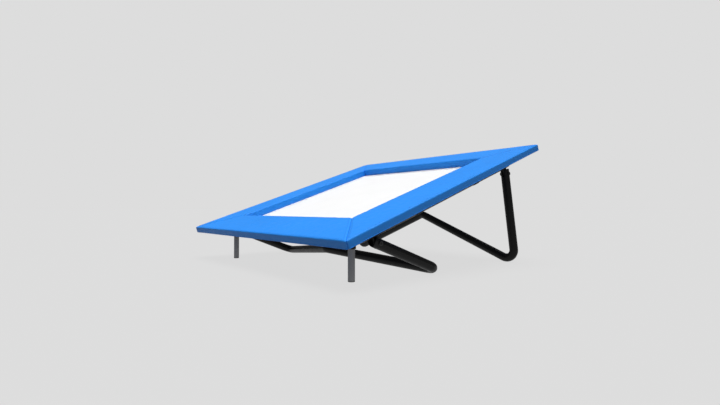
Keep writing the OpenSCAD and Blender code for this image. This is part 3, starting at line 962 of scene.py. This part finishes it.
class TRAMPOLINE_OT_bed(bpy.types.Operator):
    """Stretch the woven bed and sew its webbing on"""
    bl_idname = "trampoline.bed"
    bl_label = "Bed"

    def execute(self, context):
        half, base, top = BED_BOX[1].x, HEM_BOX[0].z, HEM_BOX[1].z
        part = placed(grid_slab(half, BED_BOX[0].z, BED_BOX[1].z, 80), DECK)
        bed = settle(solid("woven_bed", part, "bed_cloth"), ROOT, "bed_cloth", "bed")
        hem = settle(self.hem(half, base, top), ROOT, "bed_webbing", "bed_hem")
        first, second, over = 3.5 * MM, 6.5 * MM, 0.15 * MM
        runs = []
        for inset in (first, second, HEM_W - second, HEM_W - first):
            e, z = half - inset, top + over
            runs.append(([(-e, -e, z), (e, -e, z), (e, e, z), (-e, e, z)], True))
        sewing = place(stitches("bed_hem_stitches", runs, "bed_thread"), DECK)
        settle(sewing, ROOT, "bed_webbing")
        tabs = settle(self.tabs(half, top), ROOT, "bed_webbing")
        return {"FINISHED"}

    def hem(self, half, base, top):
        """Webbing round the bed's edge, mitred at its corners."""
        across = [(0, 0), (0, 0.7), (0.03, 1)] + [(k / 6, 1) for k in range(1, 6)]
        across += [(0.97, 1), (1, 0.7), (1, 0), (0.5, 0)]
        steps = 60
        points, faces, uvs = [], [], []
        for turn in SIDES.values():
            spin = Matrix.Rotation(math.radians(turn), 4, "Z")
            faces += ring_faces(steps + 1, len(across), len(points))
            for i in range(steps + 1):
                for share, up in across:
                    y = -half + HEM_W * share
                    x = (-1 + 2 * i / steps) * -y
                    points.append(spin @ Vector((x, y, base + (top - base) * up)))
                    uvs.append((HEM_W * share, x))
        mesh = new_mesh("bed_hem_tape", points, faces)
        set_uvs(mesh, uvs)
        return place(new_object("bed_hem_tape", mesh, "bed_webbing"), DECK)

    def tabs(self, half, top):
        """Webbing tabs folded round the rings' inner bars and sewn to the bed."""
        thick, gap = 0.9 * MM, 0.1 * MM
        end, middle, bend = (-half + 24 * MM, -half + 12 * MM, -half + 4 * MM)
        wire = (RING_BOX[1].z - RING_BOX[0].z) / 2
        bar, level = RING_BOX[1].y - wire, (RING_BOX[0].z + RING_BOX[1].z) / 2
        up, down = top + thick / 2 + gap, BED_BOX[0].z - thick / 2 - gap
        turn = wire + thick / 2 + gap
        path = [(end, up), (middle, up), (bend, up - 0.2 * MM)]
        path += [(bar + turn * math.cos(a), level + turn * math.sin(a)) for a in fan(90, 270, 8)]
        path += [(bend, down), (middle, down), (end, down)]
        points, faces, uvs = ribbon(path, 13 * MM, thick)
        parts = []
        for side, degrees in SIDES.items():
            obj = row(f"tabs_{side}", (points, faces), "bed_webbing", SPRING_COUNT,
                      SPRING_PITCH, uvs)
            parts.append(place(obj, turned(degrees)))
        return merged("ring_tabs", parts, "bed_webbing")


def merged(name, objects, slot):
    """One object made of several, which are removed."""
    bm = bmesh.new()
    for obj in objects:
        bm.from_mesh(obj.data)
    mesh = bpy.data.meshes.new(name)
    bm.to_mesh(mesh)
    bm.free()
    for obj in objects:
        remove(obj)
    return new_object(name, mesh, slot)


PAD_COLUMNS = 200
PAD_ROWS = 32
SKIN_IN = 0.3 * MM
BASE_EDGE = 1.2 * MM
MITRE_SOFT = 0.35
CORNER_SOFT = 9 * MM


def pad_layers(low, top):
    """How far in and how high each ring of a pad's wall stands, from its base to its top."""
    r = sizes().pad_edge_r
    layers = [(BASE_EDGE, low), (0.0, low + BASE_EDGE)]
    layers += [(0.0, low + (top - r - low) * k / 4) for k in range(1, 5)]
    return layers + [(r * (1 - math.cos(a)), top - r * (1 - math.sin(a)))
                     for a in (math.pi * k / 8 for k in range(1, 5))]


def pad_slab():
    """The low pad's foam before its cover swells, flat in the deck's frame."""
    low, top = PAD_BOX[0].z, PAD_BOX[1].z - 0.6 * sizes().crown
    layers = pad_layers(low, top)
    last = len(layers) - 1
    index, points = {}, []

    def corner(i, j, k):
        if (i, j, k) not in index:
            inset, z = layers[k]
            outer, inner = PAD_OUTER - SKIN_IN - inset, PAD_INNER + SKIN_IN + inset
            y = -outer + (outer - inner) * j / PAD_ROWS
            reach = -y - 0.1 * MM - MITRE_SOFT * inset
            index[i, j, k] = len(points)
            points.append(((-1 + 2 * i / PAD_COLUMNS) * reach, y, z))
        return index[i, j, k]

    faces = []
    for j in range(PAD_ROWS):
        for i in range(PAD_COLUMNS):
            ring = [(i, j), (i + 1, j), (i + 1, j + 1), (i, j + 1)]
            faces.append(tuple(corner(a, b, last) for a, b in ring))
            faces.append(tuple(corner(a, b, 0) for a, b in reversed(ring)))
    edge = [(i, 0) for i in range(PAD_COLUMNS)] + [(PAD_COLUMNS, j) for j in range(PAD_ROWS)]
    edge += [(i, PAD_ROWS) for i in range(PAD_COLUMNS, 0, -1)]
    edge += [(0, j) for j in range(PAD_ROWS, 0, -1)]
    for a, b in zip(edge, edge[1:] + edge[:1]):
        for k in range(last):
            faces.append((corner(*a, k), corner(*b, k), corner(*b, k + 1), corner(*a, k + 1)))
    return points, faces


def coordinates(mesh):
    co = np.zeros(len(mesh.vertices) * 3)
    mesh.vertices.foreach_get("co", co)
    return co.reshape(-1, 3)


def swollen(obj, cap):
    """Where the cover's points go as air pressure fills it, each by no more than the cap."""
    rest = coordinates(obj.data)
    cloth = obj.modifiers.new("cover", "CLOTH")
    cloth.settings.use_pressure = True
    cloth.settings.uniform_pressure_force = 4
    cloth.settings.effector_weights.gravity = 0
    cloth.settings.quality = 5
    cloth.settings.tension_stiffness = 20
    cloth.settings.compression_stiffness = 20
    cloth.settings.bending_stiffness = 2
    cloth.collision_settings.use_collision = False
    scene = bpy.context.scene
    frames, sideways = 20, 0.15
    for step in range(1, frames + 1):
        scene.frame_set(step)
    graph = bpy.context.evaluated_depsgraph_get()
    moved = coordinates(obj.evaluated_get(graph).to_mesh())
    obj.evaluated_get(graph).to_mesh_clear()
    obj.modifiers.remove(cloth)
    scene.frame_set(1)
    shift = moved - rest
    shift -= shift.mean(0)
    shift[:, :2] *= sideways
    size = np.linalg.norm(shift, axis=1)[:, None]
    return rest + shift * cap * np.tanh(size / cap) / np.maximum(size, 1e-9)


def soft_corners(co):
    """Rounds the outer corners of the square of pads, seen from above."""
    start = PAD_OUTER - CORNER_SOFT
    dx, dy = np.abs(co[:, 0]) - start, -co[:, 1] - start
    near = (dx > 0) & (dy > 0)
    dx, dy = dx[near], dy[near]
    shrink = np.maximum(dx, dy) / np.hypot(dx, dy)
    co[near, 0] = np.sign(co[near, 0]) * (start + dx * shrink)
    co[near, 1] = -(start + dy * shrink)
    return co


def pad_cover():
    """One finished pad in the deck's frame, on the low side."""
    mesh = new_mesh("pad_cover", *pad_slab())
    obj = new_object("pad_cover", mesh, "pad_vinyl", 180)
    rest = coordinates(mesh)
    co = swollen(obj, sizes().crown)
    broad, narrow = 14, 45
    for i, (x, y, z) in enumerate(co):
        soft = noise.noise(Vector((x * broad, y * broad, 3.0)))
        fine = noise.noise(Vector((x * narrow, y * narrow, 9.0)))
        if rest[i, 2] > PAD_BOX[0].z + 1 * MM:
            co[i, 2] = z + sizes().pad_wrinkle * (soft + 0.4 * fine)
    co[:, 2] = np.clip(co[:, 2], PAD_BOX[0].z, PAD_BOX[1].z + 0.4 * MM)
    co[:, 1] = np.clip(co[:, 1], -PAD_OUTER, -PAD_INNER)
    mitre_ends = np.abs(np.abs(rest[:, 0]) + rest[:, 1]) < 1.5 * MM
    co[mitre_ends, :2] = rest[mitre_ends, :2]
    mesh.vertices.foreach_set("co", co.ravel())
    smooth = obj.modifiers.new("smooth", "SUBSURF")
    smooth.levels = smooth.render_levels = 1
    plain(obj)
    co = soft_corners(coordinates(obj.data))
    reach = -co[:, 1] - MITRE_GAP / 2
    co[:, 0] = np.clip(co[:, 0], -reach, reach)
    obj.data.vertices.foreach_set("co", co.ravel())
    obj.data.update()
    return obj


def on_surface(tree, x, y, lift):
    spot, normal = tree.find_nearest(Vector((x, y, PAD_BOX[1].z + 4 * MM)))[:2]
    return spot + normal * lift


def seam_run(tree, inset, lift, step=6 * MM):
    """A closed run of points on a pad's top, that far in from its edges."""
    outer, inner, slack = PAD_OUTER - inset, PAD_INNER + inset, inset * math.sqrt(2)
    corners = [(-outer + slack, -outer), (outer - slack, -outer),
               (inner - slack, -inner), (-inner + slack, -inner)]
    run = []
    for (x0, y0), (x1, y1) in zip(corners, corners[1:] + corners[:1]):
        count = max(2, round(math.hypot(x1 - x0, y1 - y0) / step))
        run += [on_surface(tree, x0 + (x1 - x0) * k / count, y0 + (y1 - y0) * k / count, lift)
                for k in range(count)]
    return run


def welt_path(tree):
    """The run of the folded seam along a pad's outer side, just above its base."""
    reach, steps = PAD_OUTER - 1.2 * MM, 260
    z, sunk = PAD_BOX[0].z + 3 * MM, 0.2
    run = np.array([(reach * (2 * k / steps - 1), -PAD_OUTER, z) for k in range(steps + 1)])
    hits = [tree.find_nearest(Vector(p))[:2] for p in soft_corners(run)]
    return [spot + normal * sunk * sizes().welt_r for spot, normal in hits]


def pad_flap():
    """The edge of a pad's cover that hangs from its inner side down to the bed."""
    thick, steps, edge = 1.2 * MM, 96, 0.4 * MM
    low, high = HEM_BOX[1].z + 0.1 * MM, PAD_BOX[0].z + 3 * MM
    section = [(0.25, low), (0.0, low + edge), (0.0, high), (1.0, high), (1.0, low + edge),
               (0.75, low)]
    points = []
    for i in range(steps + 1):
        for share, z in section:
            y = -PAD_INNER - SKIN_IN - 0.3 * MM - thick * share
            points.append(((-1 + 2 * i / steps) * (-y - MITRE_GAP - 0.2 * MM), y, z))
    return points, ring_faces(steps + 1, len(section))


class TRAMPOLINE_OT_pads(bpy.types.Operator):
    """Fill the four edge pads and stitch their covers"""
    bl_idname = "trampoline.pads"
    bl_label = "Edge pads"

    def execute(self, context):
        s = sizes()
        cover = pad_cover()
        tree = BVHTree.FromPolygons([v.co for v in cover.data.vertices],
                                    [p.vertices for p in cover.data.polygons])
        run = seam_run(tree, s.stitch_inset, 0.5 * s.thread_r)
        welt_run = welt_path(tree)
        for side, turn in SIDES.items():
            pad = new_object(f"pad_{side}_cover", cover.data.copy(), "pad_vinyl", 180)
            settle(place(pad, turned(turn)), ROOT, "pad_vinyl", f"pad_{side}")
            flap = solid(f"pad_{side}_flap", pad_flap(), "pad_vinyl")
            settle(place(flap, turned(turn)), ROOT, "pad_vinyl")
            sewing = stitches(f"pad_{side}_stitches", [(run, True)], "pad_thread")
            settle(place(sewing, turned(turn)), ROOT, "pad_vinyl")
            welt = placed(sweep(welt_run, s.welt_r, 8, (0, 0, 1)), turned(turn))
            settle(solid(f"pad_{side}_welt", welt, "pad_vinyl", 180), ROOT, "pad_vinyl")
        remove(cover)
        return {"FINISHED"}


class TRAMPOLINE_OT_straps(bpy.types.Operator):
    """Loop the webbing straps under the rails"""
    bl_idname = "trampoline.straps"
    bl_label = "Pad straps"

    def execute(self, context):
        thick, hem = 1.5 * MM, 3 * MM
        r, top = TUBE_R + 0.3 * MM + thick / 2, PAD_BOX[0].z - 0.1 * MM
        path = self.loop(r, (top, top * 0.66, top * 0.33))
        seam = self.loop(r + 0.85 * MM, (top * 0.75, top * 0.5, top * 0.25))
        tape = ribbon(path, STRAP_W, thick)
        edges = (-STRAP_W / 2 + hem, STRAP_W / 2 - hem)
        straps, sewing = [], []
        for side, turn in SIDES.items():
            obj = row(f"straps_{side}", tape[:2], "strap_webbing", 2, 2 * STRAP_AT, tape[2])
            straps.append(place(obj, turned(turn)))
            runs = [([(x + edge, y, z) for y, z in seam], False)
                    for x in (-STRAP_AT, STRAP_AT) for edge in edges]
            sewn = stitches(f"sewing_{side}", runs, "strap_webbing")
            sewing.append(place(sewn, turned(turn)))
        settle(merged("pad_strap_webbing", straps, "strap_webbing"), ROOT, "strap_webbing",
               "pad_straps")
        settle(merged("pad_strap_stitches", sewing, "strap_webbing"), ROOT, "strap_webbing")
        return {"FINISHED"}

    def loop(self, r, heights):
        """A run down from the pad, round under the low rail and up again."""
        under = [(-r * math.cos(a), -r * math.sin(a)) for a in fan(0, 180, 24)]
        run = [(-r, z) for z in heights] + under + [(r, z) for z in reversed(heights)]
        return [(y - RAIL, z) for y, z in run]


class TRAMPOLINE_OT_stage(bpy.types.Operator):
    """Set out the floor, the lights and the camera"""
    bl_idname = "trampoline.stage"
    bl_label = "Stage"

    def execute(self, context):
        scene = context.scene
        reach, gap = 150.0, 0.5 * MM
        corners = [(-reach, -reach, 0), (reach, -reach, 0), (reach, reach, 0), (-reach, reach, 0)]
        floor = linked("studio_floor", new_mesh("studio_floor", corners, [(0, 1, 2, 3)],
                                                outwards=False))
        floor.data.materials.append(self.floor_paint())
        floor.location.z = -gap
        floor.visible_diffuse = False
        self.world(scene)
        self.sun("key_light", 3.05, 40, (0, 3, 0))
        self.sun("fill_light", 0.16, 60, (62, 0, 70))
        data = bpy.data.cameras.new("main_camera")
        data.sensor_width = 36.0
        data.lens = 20.885
        data.clip_end = 1000.0
        camera = linked("main_camera", data)
        camera.location = (1.5812, -1.3637, 0.2510)
        camera.rotation_euler = (math.radians(90.92), 0, math.radians(49.3))
        scene.camera = camera
        scene.view_settings.view_transform = "Standard"
        return {"FINISHED"}

    def floor_paint(self):
        """A pale, partly self-lit floor that is clear from below."""
        paint = bpy.data.materials.new("pale_floor")
        paint.use_nodes = True
        tree = paint.node_tree
        tree.nodes.remove(tree.nodes["Principled BSDF"])
        matt = add_node(tree, "ShaderNodeBsdfDiffuse", {"Color": (0.038, 0.038, 0.038, 1)})
        glow = add_node(tree, "ShaderNodeEmission", {"Strength": 0.680})
        both = add_node(tree, "ShaderNodeAddShader", {0: matt.outputs[0], 1: glow.outputs[0]})
        under = add_node(tree, "ShaderNodeNewGeometry")
        clear = add_node(tree, "ShaderNodeBsdfTransparent")
        side = add_node(tree, "ShaderNodeMixShader", {
            "Fac": under.outputs["Backfacing"], 1: both.outputs[0], 2: clear.outputs[0]})
        tree.links.new(side.outputs[0], tree.nodes["Material Output"].inputs["Surface"])
        return paint

    def world(self, scene):
        """A dim light all round, with a pale background that only the camera sees."""
        world = bpy.data.worlds.new("studio")
        scene.world = world
        world.use_nodes = True
        tree = world.node_tree
        soft = tree.nodes["Background"]
        soft.inputs["Color"].default_value = (0.19, 0.19, 0.19, 1)
        seen = add_node(tree, "ShaderNodeBackground", {"Color": (0.723, 0.723, 0.723, 1)})
        ray = add_node(tree, "ShaderNodeLightPath")
        mix = add_node(tree, "ShaderNodeMixShader", {
            "Fac": ray.outputs["Is Camera Ray"], 1: soft.outputs[0], 2: seen.outputs[0]})
        tree.links.new(mix.outputs[0], tree.nodes["World Output"].inputs["Surface"])

    def sun(self, name, strength, spread, turn):
        data = bpy.data.lights.new(name, "SUN")
        data.energy = strength
        data.angle = math.radians(spread)
        linked(name, data).rotation_euler = [math.radians(a) for a in turn]


class TRAMPOLINE_PT_panel(bpy.types.Panel):
    bl_label = "Mini-trampoline"
    bl_idname = "TRAMPOLINE_PT_panel"
    bl_space_type = "VIEW_3D"
    bl_region_type = "UI"
    bl_category = "Trampoline"

    def draw(self, context):
        layout = self.layout
        for group in (context.scene.trampoline_sizes, context.scene.trampoline_colours):
            box = layout.box()
            for name in group.__annotations__:
                box.prop(group, name)
        for operator in OPERATORS:
            layout.operator(operator.bl_idname)


OPERATORS = (
    TRAMPOLINE_OT_stage,
    TRAMPOLINE_OT_rails,
    TRAMPOLINE_OT_fittings,
    TRAMPOLINE_OT_folding_legs,
    TRAMPOLINE_OT_front_legs,
    TRAMPOLINE_OT_clamps,
    TRAMPOLINE_OT_springs,
    TRAMPOLINE_OT_bed,
    TRAMPOLINE_OT_pads,
    TRAMPOLINE_OT_straps,
)
CLASSES = (TrampolineSizes, TrampolineColours) + OPERATORS + (TRAMPOLINE_PT_panel,)


def register():
    for cls in CLASSES:
        bpy.utils.register_class(cls)
    bpy.types.Scene.trampoline_sizes = PointerProperty(type=TrampolineSizes)
    bpy.types.Scene.trampoline_colours = PointerProperty(type=TrampolineColours)


def unregister():
    del bpy.types.Scene.trampoline_colours
    del bpy.types.Scene.trampoline_sizes
    for cls in reversed(CLASSES):
        bpy.utils.unregister_class(cls)


def main():
    register()
    for operator in OPERATORS:
        group, name = operator.bl_idname.split(".")
        getattr(getattr(bpy.ops, group), name)()
    bpy.context.view_layer.update()


if __name__ == "__main__":
    main()
